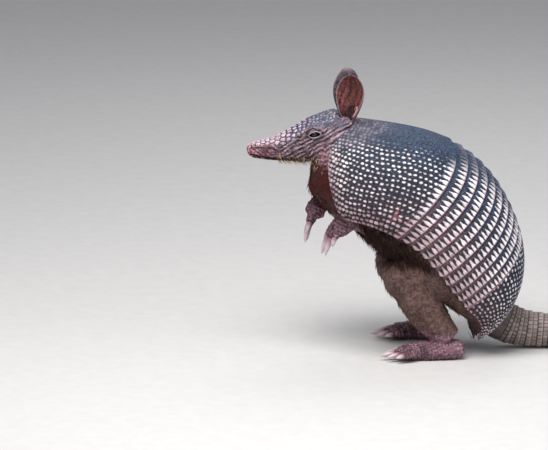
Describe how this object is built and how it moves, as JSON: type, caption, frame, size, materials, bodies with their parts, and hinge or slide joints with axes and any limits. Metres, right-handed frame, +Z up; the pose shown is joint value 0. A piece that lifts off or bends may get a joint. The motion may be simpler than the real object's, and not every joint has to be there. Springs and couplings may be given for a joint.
{
  "type": "nine-banded armadillo model",
  "caption": "Still, life-size armadillo reared up on its hind legs, with a plated, banded shell, cupped ears, long snout and a ringed tail laid behind it.",
  "frame": {"origin": "middle of the bounding box on the floor that the feet and tail rest on", "axes": "+Z up, the head faces -X, the animal's left side faces -Y"},
  "size_m": [0.5288, 0.148, 0.285],
  "materials": {
    "shell": "dark slate bony plates with pale pinkish buttons and rims",
    "skin": "dull brown wrinkled skin with sparse pale bristles",
    "head": "pinkish plates on the snout, blue-grey on the crown",
    "ear": "pebbled grey back and bare reddish-brown cup",
    "eye": "wet, nearly black",
    "foot": "knobby purplish-brown skin",
    "claw": "pale horn",
    "tail": "rings of small grey-brown plates"
  },
  "bodies": {
    "root": {"shell_scapular": "shell", "shell_band_1": "shell", "shell_band_2": "shell", "shell_band_3": "shell", "shell_band_4": "shell", "shell_band_5": "shell", "shell_band_6": "shell", "shell_band_7": "shell", "shell_band_8": "shell", "shell_band_9": "shell", "shell_pelvic": "shell", "torso": "skin", "neck": "skin", "fore_leg_left": "skin", "fore_leg_right": "skin", "hind_leg_left": "skin", "hind_leg_right": "skin", "head": "head", "ear_left": "ear", "ear_right": "ear", "eye_left": "eye", "eye_right": "eye", "fore_foot_left": "foot", "fore_foot_right": "foot", "hind_foot_left": "foot", "hind_foot_right": "foot", "claw_fore_left_1": "claw", "claw_fore_left_2": "claw", "claw_fore_left_3": "claw", "claw_fore_left_4": "claw", "claw_fore_right_1": "claw", "claw_fore_right_2": "claw", "claw_fore_right_3": "claw", "claw_fore_right_4": "claw", "claw_hind_left_1": "claw", "claw_hind_left_2": "claw", "claw_hind_left_3": "claw", "claw_hind_left_4": "claw", "claw_hind_left_5": "claw", "claw_hind_right_1": "claw", "claw_hind_right_2": "claw", "claw_hind_right_3": "claw", "claw_hind_right_4": "claw", "claw_hind_right_5": "claw", "tail_base": "tail", "tail_middle": "tail", "tail_tip": "tail"}
  },
  "joints": []
}
